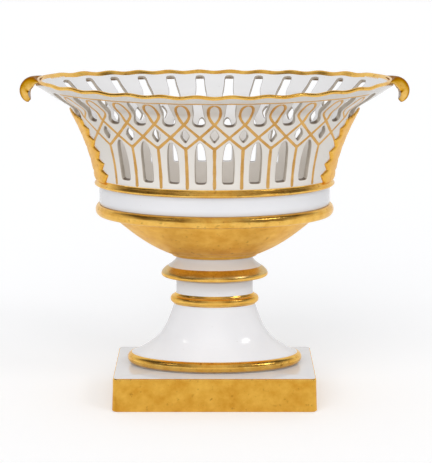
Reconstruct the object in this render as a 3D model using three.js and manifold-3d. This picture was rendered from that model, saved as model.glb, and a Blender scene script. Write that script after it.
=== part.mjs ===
// A pierced porcelain basket on a trumpet pedestal and an oblong plinth, in millimetres, +Z up.
// Every turned-looking section is an oval with its half length along X. The basket keeps one ratio of depth
// to length, and the pedestal under it is slimmer: its sections run from the stem's oval to the foot's.
// The origin is the middle of the plinth's underside. Pieces are stacked upwards from there on flat seats,
// and one rod through the axis clamps basket, pedestal and plinth together.

import * as THREE from 'three';
import { mergeVertices } from 'three/addons/utils/BufferGeometryUtils.js';
import Module from 'manifold-3d';

// Driving dimensions. A radius or reach is the half length of an oval, along X.
const BASKET_RATIO = 0.74;
const STEM_RADIUS = 28.9;
const STEM_DEPTH = 17;
const FOOT_RADIUS = 58.4;
const FOOT_DEPTH = 31.4;

const PLINTH_LENGTH = 140.4;
const PLINTH_DEPTH = 90;
const PLINTH_HEIGHT = 23.6;
const PLINTH_FLARE = 1;
const PLINTH_WALL = 5;
const PLINTH_TOP = 5;
const PLINTH_CORNER = 3;

const FOOT_GASKET_THICKNESS = 0.6;
const ROLL_SECTION = 3.7;
const ROLL_STEP = 0.3;
const TRUMPET_HEIGHT = 34.9;
const STEM_RING_OUT = 2.45;
const STEM_RING_HEIGHT = 7;
const DRUM_RADIUS = 27.1;
const DRUM_HEIGHT = 11.2;
const PEDESTAL_WALL = 4.5;
const PEDESTAL_TOP = 5;
const FOOT_SEAT_WIDTH = 7;

const SEAT_GASKET_THICKNESS = 1;
const KNOP_OUT = 11.4;
const KNOP_HEIGHT = 7.7;
const COLLAR_RADIUS = 26.6;
const COLLAR_HEIGHT = 8.1;
const COLLAR_BORE = 15;

const BOWL_RADIUS = 72.8;
const BOWL_HEIGHT = 29.6;
const PAN_WALL = 4.8;
const LOWER_BEAD_OUT = 2.8;
const LOWER_BEAD_HEIGHT = 8.2;

const FASCIA_RADIUS = 80.9;
const FASCIA_HEIGHT = 11.1;
const UPPER_BEAD_OUT = 2.4;
const UPPER_BEAD_HEIGHT = 5;
const LATTICE_RADIUS = 82;
const LATTICE_HEIGHT = 51;
const LATTICE_FOOT_LEAN = 1.9;
const LATTICE_TOP_LEAN = 9;
const THROAT_RADIUS = 99.8;
const FLARE_FOOT = [2.6, 4.4];
const FLARE_TOP = [9.2, 4.8];
const RIM_REACH = 124;
const RIM_NOSE = 0.8;
const RIM_RISE = 17.7;
const RIM_SWEEP = 3.4;
const RIM_SWEEP_POWER = 2.4;
const RIM_EDGE = 2.6;
const WALL_THICKNESS = 4;
const SPIGOT_DEPTH = 2.4;
const SPIGOT_CLEARANCE = 0.5;

const BAYS_PER_QUARTER = 6.27;
const SLOT_WIDTH = 8.2;
const SLOT_SILL = 6.3;
const SLOT_HEIGHT = 28.3;
const KITE_WIDTH = 5.9;
const KITE_HEIGHT = 8.8;
const KITE_SILL = 34.4;
const KITE_SHOULDER = 3.7;
const UPPER_SLOT_WIDTH = 6.4;
const UPPER_SLOT_BULB = 8.5;
const NET_DRAWN_AT_KITES = 0.053;
const NET_DRAWN_AT_RIM = 0.14;
const UPPER_SLOT_SILL = 45.3;
const UPPER_SLOT_HEIGHT = 16.6;

const LUTE_GAP = 0.3;
const LEAF_THICKNESS = 2.2;
const LEAF_HALF_WIDTH = 29;
const LEAF_FOOT_HALF_WIDTH = 25;
const LEAF_HEIGHT = 50.5;
const LEAF_TEETH = 5;
const LEAF_TOOTH_PITCH = 8;
const LEAF_TOOTH_DEPTH = 4.5;
const LEAF_FIRST_TOOTH = 6.6;
const HANDLE_ROOT_WIDTH = 46;
const HANDLE_TIP_WIDTH = 12;
const HANDLE_THICKNESS = 3.8;
const HANDLE_REACH = 11.7;
const HANDLE_RISE = 1.5;
const HANDLE_DROP = 15.7;
const HANDLE_DROOP = 5.4;
const HANDLE_DROOP_SPAN = 0.87;

const ROD_DIAMETER = 6;
const ROD_HOLE_CLEARANCE = 1;
const ROD_END = 3;
const HEAD_DIAMETER = 15;
const HEAD_HEIGHT = 4.5;
const WASHER_DIAMETER = 22;
const WASHER_THICKNESS = 1.5;
const GASKET_DIAMETER = 24;
const GASKET_THICKNESS = 1.4;
const NUT_ACROSS_CORNERS = 13;
const NUT_HEIGHT = 5;
const NUT_FIT = 0.15;

const WALL_STEPS = 48;
const OVAL_STEPS = 40;
const HARDWARE_STEPS = 16;

// Heights of the seats, worked out from the pieces below them
const footZ = PLINTH_HEIGHT + FOOT_GASKET_THICKNESS;
const rollTopZ = footZ + ROLL_STEP + 2 * ROLL_SECTION;
const ringZ = rollTopZ + TRUMPET_HEIGHT;
const drumZ = ringZ + STEM_RING_HEIGHT;
const pedestalTopZ = drumZ + DRUM_HEIGHT;
const knopZ = pedestalTopZ + SEAT_GASKET_THICKNESS;
const collarZ = knopZ + KNOP_HEIGHT;
const panZ = collarZ + COLLAR_HEIGHT;
const beadZ = panZ + BOWL_HEIGHT;
const wallZ = beadZ + LOWER_BEAD_HEIGHT;
const upperBeadZ = wallZ + FASCIA_HEIGHT;
const latticeZ = upperBeadZ + UPPER_BEAD_HEIGHT;
const throatZ = latticeZ + LATTICE_HEIGHT;
const rimZ = throatZ + RIM_RISE;
const panFloorZ = panZ + PAN_WALL;
const plinthCeilingZ = PLINTH_HEIGHT - PLINTH_TOP;
const rodHoleRadius = ROD_DIAMETER / 2 + ROD_HOLE_CLEARANCE;

const wasm = await Module();
wasm.setup();

// A closed geometry as a solid that can be joined and cut
function toSolid(geometry) {
  const bare = geometry.clone();
  bare.deleteAttribute('normal');
  bare.deleteAttribute('uv');
  const merged = mergeVertices(bare, 1e-4);
  return new wasm.Manifold(
    new wasm.Mesh({
      numProp: 3,
      vertProperties: new Float32Array(merged.attributes.position.array),
      triVerts: new Uint32Array(merged.index.array),
    }),
  );
}

function toGeometry(solid) {
  const mesh = solid.getMesh();
  const geometry = new THREE.BufferGeometry();
  geometry.setAttribute('position', new THREE.BufferAttribute(mesh.vertProperties, 3));
  geometry.setIndex(new THREE.BufferAttribute(mesh.triVerts, 1));
  geometry.computeVertexNormals();
  return geometry;
}

// Half depth of an oval from its half length, in a run between two known ovals
function depthBetween([a0, b0], [a1, b1]) {
  return (a) => b0 + ((a - a0) * (b1 - b0)) / (a1 - a0);
}

const stemDepth = depthBetween([STEM_RADIUS, STEM_DEPTH], [FOOT_RADIUS, FOOT_DEPTH]);
const basketDepth = (a) => a * BASKET_RATIO;
const panDepth = depthBetween(
  [COLLAR_RADIUS, stemDepth(COLLAR_RADIUS)],
  [FASCIA_RADIUS, basketDepth(FASCIA_RADIUS)],
);

// A point of the oval with half length a and half depth b, at an angle from the front towards +X, moved out
// square to the oval
function ovalPoint(a, b, angle, outwards = 0) {
  const across = Math.sin(angle);
  const front = -Math.cos(angle);
  const normalLength = Math.hypot(b * across, a * front) || 1;
  return new THREE.Vector2(
    a * across + (outwards * b * across) / normalLength,
    b * front + (outwards * a * front) / normalLength,
  );
}

// An oval solid from a profile of [half length, height, inset] points, which starts and ends on the axis or
// closes on itself. The inset moves a point inwards square to the oval, so that walls and mouldings keep the
// same thickness all round.
function ovalLathe(profile, depthOf, steps = OVAL_STEPS) {
  const geometry = new THREE.LatheGeometry(
    profile.map(([a, z]) => new THREE.Vector2(a, z)),
    steps,
  );
  geometry.rotateX(Math.PI / 2);
  const position = geometry.attributes.position;
  for (let i = 0; i < position.count; i += 1) {
    const [a, z, inset = 0] = profile[i % profile.length];
    const angle = (Math.floor(i / profile.length) % steps) * ((2 * Math.PI) / steps);
    const point = a > 0 ? ovalPoint(a, depthOf(a), angle, -inset) : new THREE.Vector2(0, 0);
    position.setXYZ(i, point.x, point.y, z);
  }
  return geometry;
}

// Points of a curve from its two ends and two handles, as [half length, height]
function bend(start, startHandle, endHandle, end, steps) {
  const curve = new THREE.CubicBezierCurve(
    new THREE.Vector2(...start),
    new THREE.Vector2(...startHandle),
    new THREE.Vector2(...endHandle),
    new THREE.Vector2(...end),
  );
  return curve.getPoints(steps).map((p) => [p.x, p.y]);
}

// A half-round bead standing out from an oval between two heights, as [half length, height, inset]
function bead(radius, out, bottom, top, steps = 6) {
  const middle = (bottom + top) / 2;
  return Array.from({ length: steps + 1 }, (_, i) => {
    const turn = (Math.PI * i) / steps;
    return [radius, middle - ((top - bottom) / 2) * Math.cos(turn), -out * Math.sin(turn)];
  });
}

// A run of profile points moved square to itself by a distance that may change on the way, to the left of its
// direction of travel, as [half length, height, inset]
function besideRun(points, distance, endDistance = distance) {
  return points.map(([a, z], i) => {
    const [a0, z0] = points[Math.max(i - 1, 0)];
    const [a1, z1] = points[Math.min(i + 1, points.length - 1)];
    const length = Math.hypot(a1 - a0, z1 - z0);
    const away = THREE.MathUtils.lerp(distance, endDistance, i / (points.length - 1));
    return [a, z + (away * (a1 - a0)) / length, (away * (z1 - z0)) / length];
  });
}

function roundPlug(radius, bottom, top) {
  const geometry = new THREE.CylinderGeometry(radius, radius, top - bottom, HARDWARE_STEPS);
  geometry.rotateX(Math.PI / 2);
  geometry.translate(0, 0, (bottom + top) / 2);
  return toSolid(geometry);
}

function flatRing(outerRadius, innerRadius, bottom, thickness) {
  const disc = roundPlug(outerRadius, bottom, bottom + thickness);
  return toGeometry(disc.subtract(roundPlug(innerRadius, bottom - 1, bottom + thickness + 1)));
}

function boreForRod(solid) {
  return solid.subtract(roundPlug(rodHoleRadius, -1, rimZ));
}

// The wall's outer line between the upper bead and the throat, and the flare from there out to the rim
const latticeLine = bend(
  [LATTICE_RADIUS, latticeZ],
  [LATTICE_RADIUS + LATTICE_FOOT_LEAN, latticeZ + LATTICE_HEIGHT / 3],
  [THROAT_RADIUS - LATTICE_TOP_LEAN, throatZ - LATTICE_HEIGHT / 3],
  [THROAT_RADIUS, throatZ],
  6,
);
const flareLine = bend(
  [THROAT_RADIUS, throatZ],
  [THROAT_RADIUS + FLARE_FOOT[0], throatZ + FLARE_FOOT[1]],
  [THROAT_RADIUS + FLARE_TOP[0], throatZ + FLARE_TOP[1]],
  [RIM_REACH - RIM_NOSE, rimZ - RIM_EDGE],
  6,
);
const wallLine = [...latticeLine, ...flareLine.slice(1)];

function wallRadiusAt(z) {
  const above = Math.max(1, wallLine.findIndex((point) => point[1] >= z));
  const [a0, z0] = wallLine[above - 1];
  const [a1, z1] = wallLine[above];
  return a0 + ((a1 - a0) * (z - z0)) / (z1 - z0);
}

// The angle of a place along the oval, counted in bays from the front middle: bays are equal lengths of wall
function bayAngle(bays) {
  const steps = 360;
  const lengths = [0];
  for (let i = 1; i <= steps; i += 1) {
    const angle = ((i - 0.5) / steps) * (Math.PI / 2);
    lengths.push(lengths[i - 1] + Math.hypot(Math.cos(angle), BASKET_RATIO * Math.sin(angle)));
  }
  const wanted = (Math.abs(bays) / BAYS_PER_QUARTER) * lengths[steps];
  const above = Math.min(Math.max(lengths.findIndex((length) => length >= wanted), 1), steps);
  const share = (wanted - lengths[above - 1]) / (lengths[above] - lengths[above - 1]);
  return (Math.sign(bays) * (above - 1 + share) * (Math.PI / 2)) / steps;
}

// The higher the net climbs, the nearer it keeps to the middle than even bays would, as it was drawn by hand
function drawnIn(bays, z) {
  const toKites = THREE.MathUtils.clamp((z - latticeZ) / KITE_SILL, 0, 1);
  const toRim = THREE.MathUtils.clamp((z - latticeZ - UPPER_SLOT_SILL) / UPPER_SLOT_HEIGHT, 0, 1);
  const share = THREE.MathUtils.lerp(toKites * NET_DRAWN_AT_KITES, NET_DRAWN_AT_RIM, toRim);
  return bays * (1 - share);
}

// A cutter for one opening: its outline, drawn flat in millimetres, is extruded and bent on to the wall
function latticeCutter(shape, bays, atRear) {
  const geometry = new THREE.ExtrudeGeometry(shape, { depth: 1, bevelEnabled: false, curveSegments: 2 });
  const position = geometry.attributes.position;
  for (let i = 0; i < position.count; i += 1) {
    const z = latticeZ + position.getY(i);
    const middle = bayAngle(drawnIn(bays, z));
    const a = wallRadiusAt(z);
    const stride = a * Math.hypot(Math.cos(middle), BASKET_RATIO * Math.sin(middle));
    const outwards = position.getZ(i) > 0.5 ? WALL_THICKNESS : -2.2 * WALL_THICKNESS;
    const point = ovalPoint(a, basketDepth(a), middle + position.getX(i) / stride, outwards);
    position.setXYZ(i, point.x, point.y, z);
  }
  if (atRear) {
    geometry.rotateZ(Math.PI);
  }
  return toSolid(geometry);
}

function lowerSlotShape() {
  const half = SLOT_WIDTH / 2;
  const shape = new THREE.Shape();
  const springing = SLOT_SILL + SLOT_HEIGHT - SLOT_WIDTH;
  shape.moveTo(-half, SLOT_SILL);
  shape.lineTo(half, SLOT_SILL);
  shape.lineTo(half, springing);
  shape.lineTo(half * 0.6, springing + SLOT_WIDTH * 0.65);
  shape.lineTo(0, SLOT_SILL + SLOT_HEIGHT);
  shape.lineTo(-half * 0.6, springing + SLOT_WIDTH * 0.65);
  shape.lineTo(-half, springing);
  shape.closePath();
  return shape;
}

function kiteShape() {
  const half = KITE_WIDTH / 2;
  const widest = KITE_SILL + KITE_SHOULDER;
  const shape = new THREE.Shape();
  shape.moveTo(0, KITE_SILL);
  shape.quadraticCurveTo(half, KITE_SILL + 0.6, half, widest);
  shape.lineTo(0, KITE_SILL + KITE_HEIGHT);
  shape.lineTo(-half, widest);
  shape.quadraticCurveTo(-half, KITE_SILL + 0.6, 0, KITE_SILL);
  return shape;
}

function upperSlotShape() {
  const half = UPPER_SLOT_WIDTH / 2;
  const bulb = UPPER_SLOT_BULB / 2;
  const top = UPPER_SLOT_SILL + UPPER_SLOT_HEIGHT;
  const shape = new THREE.Shape();
  shape.moveTo(0, UPPER_SLOT_SILL);
  shape.quadraticCurveTo(bulb, UPPER_SLOT_SILL, bulb, UPPER_SLOT_SILL + bulb);
  shape.lineTo(half, UPPER_SLOT_SILL + 2 * bulb);
  shape.lineTo(half, top);
  shape.lineTo(-half, top);
  shape.lineTo(-half, UPPER_SLOT_SILL + 2 * bulb);
  shape.lineTo(-bulb, UPPER_SLOT_SILL + bulb);
  shape.quadraticCurveTo(-bulb, UPPER_SLOT_SILL, 0, UPPER_SLOT_SILL);
  return shape;
}

// How far the rim climbs towards the handles, at a place whose distance along X is a share of the half length
function sweepAt(share) {
  return RIM_SWEEP * Math.min(1, Math.abs(share)) ** RIM_SWEEP_POWER;
}

function liftFlare(geometry) {
  const position = geometry.attributes.position;
  for (let i = 0; i < position.count; i += 1) {
    const z = position.getZ(i);
    const rise = THREE.MathUtils.clamp((z - throatZ) / (RIM_RISE - RIM_EDGE), 0, 1);
    const reach = THREE.MathUtils.lerp(THROAT_RADIUS, RIM_REACH, rise);
    position.setZ(i, z + rise ** 2 * sweepAt(position.getX(i) / reach));
  }
  return geometry;
}

// The openwork wall: fascia, upper bead, lattice and flare, with a spigot that drops inside the pan
function basketWall() {
  const outer = [
    [FASCIA_RADIUS, wallZ],
    [FASCIA_RADIUS, upperBeadZ],
    ...bead(LATTICE_RADIUS, UPPER_BEAD_OUT, upperBeadZ, latticeZ, 4),
    ...wallLine.slice(1),
    [RIM_REACH, rimZ - RIM_EDGE / 2],
    [RIM_REACH - RIM_NOSE, rimZ],
  ];
  const inside = besideRun(wallLine, WALL_THICKNESS, RIM_EDGE)
    .filter((_, i) => i > 0 && i % 2 === 0)
    .slice(0, -1)
    .reverse();
  const spigot = [
    [FASCIA_RADIUS, latticeZ, WALL_THICKNESS],
    [FASCIA_RADIUS, wallZ - SPIGOT_DEPTH, WALL_THICKNESS + 1],
    [FASCIA_RADIUS, wallZ - SPIGOT_DEPTH, WALL_THICKNESS - 1],
    [FASCIA_RADIUS, wallZ, WALL_THICKNESS - 1],
  ];
  const profile = [...outer, ...inside, ...spigot, outer[0]];
  let wall = toSolid(liftFlare(ovalLathe(profile, basketDepth, WALL_STEPS)));
  for (const atRear of [false, true]) {
    for (let bay = -3.5; bay <= 3.5; bay += 1) {
      wall = wall.subtract(latticeCutter(lowerSlotShape(), bay, atRear));
    }
    for (let strap = -4; strap <= 4; strap += 1) {
      wall = wall.subtract(latticeCutter(kiteShape(), strap, atRear));
    }
    for (let bay = -5.5; bay <= 5.5; bay += 1) {
      wall = wall.subtract(latticeCutter(upperSlotShape(), bay, atRear));
    }
  }
  return toGeometry(wall);
}

// The shallow pan under the wall, with the lower bead round its edge and a rebate for the wall's spigot
function bowlPan() {
  const bowl = bend(
    [COLLAR_RADIUS, panZ],
    [COLLAR_RADIUS + 21, panZ + BOWL_HEIGHT * 0.25],
    [BOWL_RADIUS - 14, beadZ - BOWL_HEIGHT * 0.4],
    [BOWL_RADIUS, beadZ],
    6,
  );
  const rebate = WALL_THICKNESS + 1 + SPIGOT_CLEARANCE;
  const outer = [
    ...bowl,
    ...bead(FASCIA_RADIUS, LOWER_BEAD_OUT, beadZ + 0.3, wallZ, 6),
  ];
  const step = [
    [FASCIA_RADIUS, wallZ, WALL_THICKNESS - 1 - SPIGOT_CLEARANCE],
    [FASCIA_RADIUS, wallZ - SPIGOT_DEPTH - SPIGOT_CLEARANCE, WALL_THICKNESS - 1 - SPIGOT_CLEARANCE],
    [FASCIA_RADIUS, wallZ - SPIGOT_DEPTH - SPIGOT_CLEARANCE, rebate],
  ];
  const inside = besideRun(bowl, PAN_WALL)
    .filter(([, z]) => z > panFloorZ + 0.4)
    .reverse();
  const floor = [
    [GASKET_DIAMETER, panFloorZ],
    [0, panFloorZ],
  ];
  const profile = [[0, panZ], ...outer, ...step, ...inside, ...floor];
  return toGeometry(boreForRod(toSolid(ovalLathe(profile, panDepth, WALL_STEPS))));
}

// The knop and the white collar over it, one turned piece with an oval bore
function collarKnop() {
  const shoulder = [KNOP_OUT * 0.73, collarZ - 0.3];
  const nose = bend(
    [KNOP_OUT - 2, knopZ + 1.3],
    [KNOP_OUT + 0.6, knopZ + KNOP_HEIGHT * 0.24],
    [KNOP_OUT + 0.4, knopZ + KNOP_HEIGHT * 0.6],
    shoulder,
    5,
  );
  const cove = bend(
    shoulder,
    [KNOP_OUT * 0.34, collarZ + COLLAR_HEIGHT * 0.33],
    [KNOP_OUT * 0.04, panZ - COLLAR_HEIGHT * 0.4],
    [0, panZ],
    4,
  );
  const profile = [
    [COLLAR_BORE, knopZ],
    [COLLAR_RADIUS, knopZ],
    ...[...nose, ...cove.slice(1)].map(([out, z]) => [COLLAR_RADIUS, z, -out]),
    [COLLAR_BORE, panZ],
    [COLLAR_BORE, knopZ],
  ];
  return ovalLathe(profile, stemDepth);
}

// The hollow pedestal, open below: roll, trumpet, small ring and drum, closed on top but for the rod's hole
function pedestal() {
  const trumpet = bend(
    [FOOT_RADIUS - 1.1, rollTopZ],
    [FOOT_RADIUS - 19, rollTopZ + TRUMPET_HEIGHT * 0.3],
    [STEM_RADIUS + 7.5, ringZ - TRUMPET_HEIGHT * 0.66],
    [STEM_RADIUS, ringZ],
    7,
  );
  const outer = [
    [FOOT_RADIUS, footZ, -ROLL_SECTION / 2],
    ...bead(FOOT_RADIUS, ROLL_SECTION, footZ + ROLL_STEP, rollTopZ, 5),
    ...trumpet,
    ...bead(STEM_RADIUS, STEM_RING_OUT, ringZ + 1.2, drumZ, 4),
    [DRUM_RADIUS, drumZ + 2.5],
    [DRUM_RADIUS, pedestalTopZ],
    [0, pedestalTopZ],
  ];
  const ceilingZ = pedestalTopZ - PEDESTAL_TOP;
  const inside = besideRun(trumpet, PEDESTAL_WALL).filter(([, z], i) => z > rollTopZ && i % 2 === 1);
  const hollow = [
    [0, ceilingZ],
    [DRUM_RADIUS, ceilingZ, PEDESTAL_WALL],
    ...inside.reverse(),
    [FOOT_RADIUS, footZ, FOOT_SEAT_WIDTH],
  ];
  return toGeometry(boreForRod(toSolid(ovalLathe([...hollow, ...outer], stemDepth))));
}

// An upright block with rounded corners, whose foot stands out by a flare all round
function roundedBox(length, depth, corner, bottom, top, flare = 0) {
  const shape = new THREE.Shape();
  const x = length / 2;
  const y = depth / 2;
  shape.moveTo(-x + corner, -y);
  shape.lineTo(x - corner, -y);
  shape.absarc(x - corner, -y + corner, corner, -Math.PI / 2, 0);
  shape.absarc(x - corner, y - corner, corner, 0, Math.PI / 2);
  shape.absarc(-x + corner, y - corner, corner, Math.PI / 2, Math.PI);
  shape.absarc(-x + corner, -y + corner, corner, Math.PI, 1.5 * Math.PI);
  const geometry = new THREE.ExtrudeGeometry(shape, {
    depth: top - bottom,
    bevelEnabled: false,
    curveSegments: 5,
  });
  geometry.translate(0, 0, bottom);
  const position = geometry.attributes.position;
  for (let i = 0; i < position.count; i += 1) {
    const spread = position.getZ(i) === bottom ? flare : 0;
    position.setX(i, position.getX(i) + Math.sign(position.getX(i)) * spread);
    position.setY(i, position.getY(i) + Math.sign(position.getY(i)) * spread);
  }
  return toSolid(geometry);
}

// The oblong plinth, cast hollow and open below
function plinth() {
  const block = roundedBox(PLINTH_LENGTH, PLINTH_DEPTH, PLINTH_CORNER, 0, PLINTH_HEIGHT, PLINTH_FLARE);
  const hollow = roundedBox(
    PLINTH_LENGTH - 2 * PLINTH_WALL,
    PLINTH_DEPTH - 2 * PLINTH_WALL,
    PLINTH_CORNER,
    -1,
    plinthCeilingZ,
    PLINTH_FLARE,
  );
  return toGeometry(boreForRod(block.subtract(hollow)));
}

// A thin oval ring between two seats, from an outer [half length, inset] to an inner one
function ovalGasket([outerRadius, outerInset], [innerRadius, innerInset], bottom, thickness) {
  const top = bottom + thickness;
  const profile = [
    [innerRadius, bottom, innerInset],
    [outerRadius, bottom, outerInset],
    [outerRadius, top, outerInset],
    [innerRadius, top, innerInset],
    [innerRadius, bottom, innerInset],
  ];
  return ovalLathe(profile, stemDepth, OVAL_STEPS / 2);
}

// One end's leaf: a moulded relief on the wall, toothed down both edges, from the upper bead to the throat
function leaf(side) {
  const leafTop = latticeZ + LEAF_HEIGHT;
  const edge = [[LEAF_FOOT_HALF_WIDTH, latticeZ + LUTE_GAP]];
  for (let i = 0; i < LEAF_TEETH; i += 1) {
    const tipZ = latticeZ + LEAF_FIRST_TOOTH + i * LEAF_TOOTH_PITCH;
    edge.push([LEAF_HALF_WIDTH, tipZ]);
    edge.push([LEAF_HALF_WIDTH - LEAF_TOOTH_DEPTH, tipZ + LEAF_TOOTH_PITCH / 3]);
  }
  const lastNotch = edge[edge.length - 1];
  edge.push([lastNotch[0], (lastNotch[1] + leafTop) / 2]);
  edge.push([lastNotch[0] / 3, leafTop]);
  const shape = new THREE.Shape([
    ...edge.map(([y, z]) => new THREE.Vector2(y, z)),
    ...edge.reverse().map(([y, z]) => new THREE.Vector2(-y, z)),
  ]);
  const blade = new THREE.ExtrudeGeometry(shape, { depth: RIM_REACH, bevelEnabled: false });
  blade.rotateX(Math.PI / 2);
  blade.rotateZ(Math.PI / 2);
  const skin = [
    [0, latticeZ],
    ...latticeLine.map(([a, z]) => [a, z, -LUTE_GAP - LEAF_THICKNESS]),
    [0, throatZ],
  ];
  const bed = [
    [0, latticeZ - 1],
    [LATTICE_RADIUS, latticeZ - 1, -LUTE_GAP],
    ...latticeLine.map(([a, z]) => [a, z, -LUTE_GAP]),
    [THROAT_RADIUS, throatZ + 1, -LUTE_GAP],
    [0, throatZ + 1],
  ];
  const relief = toSolid(ovalLathe(skin, basketDepth, WALL_STEPS)).subtract(
    toSolid(ovalLathe(bed, basketDepth, WALL_STEPS)),
  );
  const geometry = toGeometry(relief.intersect(toSolid(blade)));
  return side > 0 ? geometry : geometry.rotateZ(Math.PI);
}

// One handle: the rim drawn out into a tongue that rolls over and down
function handle(side) {
  const root = [0, rimZ - RIM_EDGE / 2];
  const curl = new THREE.CubicBezierCurve(
    new THREE.Vector2(...root),
    new THREE.Vector2(HANDLE_REACH * 0.36, rimZ + HANDLE_RISE),
    new THREE.Vector2(HANDLE_REACH * 1.34, rimZ - HANDLE_DROP * 0.48),
    new THREE.Vector2(HANDLE_REACH * 0.45, root[1] - HANDLE_DROP),
  );
  const geometry = new THREE.BoxGeometry(1, 1, 1, 10, 8, 1);
  const position = geometry.attributes.position;
  for (let i = 0; i < position.count; i += 1) {
    const along = position.getX(i) + 0.5;
    const across = 2 * position.getY(i);
    const through = position.getZ(i);
    const halfWidth = THREE.MathUtils.lerp(HANDLE_ROOT_WIDTH, HANDLE_TIP_WIDTH, along ** 1.4) / 2;
    const y = across * halfWidth;
    const edgeX = RIM_REACH * Math.sqrt(1 - (y / (RIM_REACH * BASKET_RATIO)) ** 2);
    const startX = THREE.MathUtils.lerp(edgeX, RIM_REACH, Math.min(1, along * 2));
    const middle = curl.getPoint(along);
    const lean = Math.min(1, along * 4);
    const tangent = curl.getTangent(along).multiplyScalar(lean);
    tangent.add(new THREE.Vector2(1 - lean, 0)).normalize();
    const thickness = THREE.MathUtils.lerp(RIM_EDGE, HANDLE_THICKNESS, Math.min(1, along * 3));
    const droop = HANDLE_DROOP * across ** 2 * Math.sin(Math.PI * HANDLE_DROOP_SPAN * along);
    const offset = through * thickness - droop;
    const x = startX + LUTE_GAP + middle.x - offset * tangent.y;
    position.setXYZ(i, x, y, middle.y + offset * tangent.x + sweepAt(edgeX / RIM_REACH));
  }
  const tongue = toGeometry(toSolid(geometry));
  return side > 0 ? tongue : tongue.rotateZ(Math.PI);
}

const headZ = panFloorZ + GASKET_THICKNESS + WASHER_THICKNESS;
const nutTopZ = plinthCeilingZ - GASKET_THICKNESS - WASHER_THICKNESS;

// The rod with its domed head, which lies on the washer in the pan
function tieBolt() {
  const rodRadius = ROD_DIAMETER / 2;
  const rodFootZ = nutTopZ - NUT_HEIGHT - ROD_END;
  const profile = [
    [0, rodFootZ],
    [rodRadius - 0.5, rodFootZ],
    [rodRadius, rodFootZ + 0.5],
    [rodRadius, headZ],
    [HEAD_DIAMETER / 2, headZ],
    [HEAD_DIAMETER / 2, headZ + 1],
    [HEAD_DIAMETER * 0.36, headZ + HEAD_HEIGHT * 0.78],
    [0, headZ + HEAD_HEIGHT],
  ];
  const geometry = new THREE.LatheGeometry(
    profile.map(([r, z]) => new THREE.Vector2(r, z)),
    HARDWARE_STEPS,
  );
  return geometry.rotateX(Math.PI / 2);
}

function hexNut() {
  const radius = NUT_ACROSS_CORNERS / 2;
  const blank = new THREE.CylinderGeometry(radius, radius, NUT_HEIGHT, 6);
  blank.rotateX(Math.PI / 2);
  blank.translate(0, 0, nutTopZ - NUT_HEIGHT / 2);
  const bore = roundPlug(ROD_DIAMETER / 2 + NUT_FIT, nutTopZ - NUT_HEIGHT - 1, nutTopZ + 1);
  return toGeometry(toSolid(blank).subtract(bore));
}

const porcelain = { color: 0xeeeef0, roughness: 0.12, metalness: 0 };
const brightGold = { color: 0xd9a441, roughness: 0.22, metalness: 1 };
const mattGold = { color: 0xd59c38, roughness: 0.45, metalness: 1 };
const brass = { color: 0xb8934a, roughness: 0.4, metalness: 1 };
const leather = { color: 0xa97f52, roughness: 0.9, metalness: 0 };

const group = new THREE.Group();

function add(name, geometry, finish) {
  const mesh = new THREE.Mesh(geometry, new THREE.MeshStandardMaterial(finish));
  mesh.name = name;
  group.add(mesh);
}

const gasketHole = rodHoleRadius + 0.5;

add('plinth', plinth(), mattGold);
add(
  'foot_gasket',
  ovalGasket([FOOT_RADIUS, 0], [FOOT_RADIUS, FOOT_SEAT_WIDTH - 0.5], PLINTH_HEIGHT, FOOT_GASKET_THICKNESS),
  leather,
);
add('pedestal', pedestal(), porcelain);
add(
  'seat_gasket',
  ovalGasket([COLLAR_RADIUS, 1], [COLLAR_BORE, -1], pedestalTopZ, SEAT_GASKET_THICKNESS),
  leather,
);
add('collar_knop', collarKnop(), porcelain);
add('bowl_pan', bowlPan(), mattGold);
add('basket_wall', basketWall(), porcelain);
for (const [side, end] of [[-1, 'left'], [1, 'right']]) {
  add(`leaf_${end}`, leaf(side), mattGold);
  add(`handle_${end}`, handle(side), brightGold);
}
add('top_gasket', flatRing(GASKET_DIAMETER / 2, gasketHole, panFloorZ, GASKET_THICKNESS), leather);
add(
  'top_washer',
  flatRing(WASHER_DIAMETER / 2, rodHoleRadius, panFloorZ + GASKET_THICKNESS, WASHER_THICKNESS),
  brass,
);
add('tie_bolt', tieBolt(), brass);
add(
  'lower_gasket',
  flatRing(GASKET_DIAMETER / 2, gasketHole, plinthCeilingZ - GASKET_THICKNESS, GASKET_THICKNESS),
  leather,
);
add('lower_washer', flatRing(WASHER_DIAMETER / 2, rodHoleRadius, nutTopZ, WASHER_THICKNESS), brass);
add('nut', hexNut(), brass);

export default group;
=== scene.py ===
import math

import bmesh
import bpy
import numpy as np
from mathutils.geometry import delaunay_2d_cdt
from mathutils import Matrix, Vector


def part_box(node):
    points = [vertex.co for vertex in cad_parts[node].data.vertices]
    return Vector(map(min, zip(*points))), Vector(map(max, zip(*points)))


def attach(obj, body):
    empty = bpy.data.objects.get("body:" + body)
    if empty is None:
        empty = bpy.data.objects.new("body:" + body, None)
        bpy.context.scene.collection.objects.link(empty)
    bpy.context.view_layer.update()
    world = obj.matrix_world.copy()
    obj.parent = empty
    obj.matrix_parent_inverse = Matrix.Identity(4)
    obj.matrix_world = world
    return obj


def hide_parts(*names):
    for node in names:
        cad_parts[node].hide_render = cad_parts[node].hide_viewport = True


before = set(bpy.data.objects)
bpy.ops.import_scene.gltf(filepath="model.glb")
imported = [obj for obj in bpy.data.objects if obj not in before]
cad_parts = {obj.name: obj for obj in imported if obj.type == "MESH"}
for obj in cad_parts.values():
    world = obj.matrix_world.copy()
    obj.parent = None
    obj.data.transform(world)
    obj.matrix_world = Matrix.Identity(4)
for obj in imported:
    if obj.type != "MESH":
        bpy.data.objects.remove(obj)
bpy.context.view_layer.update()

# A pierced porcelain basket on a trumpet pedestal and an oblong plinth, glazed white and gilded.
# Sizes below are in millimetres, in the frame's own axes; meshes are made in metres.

MM = 0.001
rng = np.random.default_rng(11)


def low(name):
    """Height of a solid's lowest point"""
    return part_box(name)[0].z / MM


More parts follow.
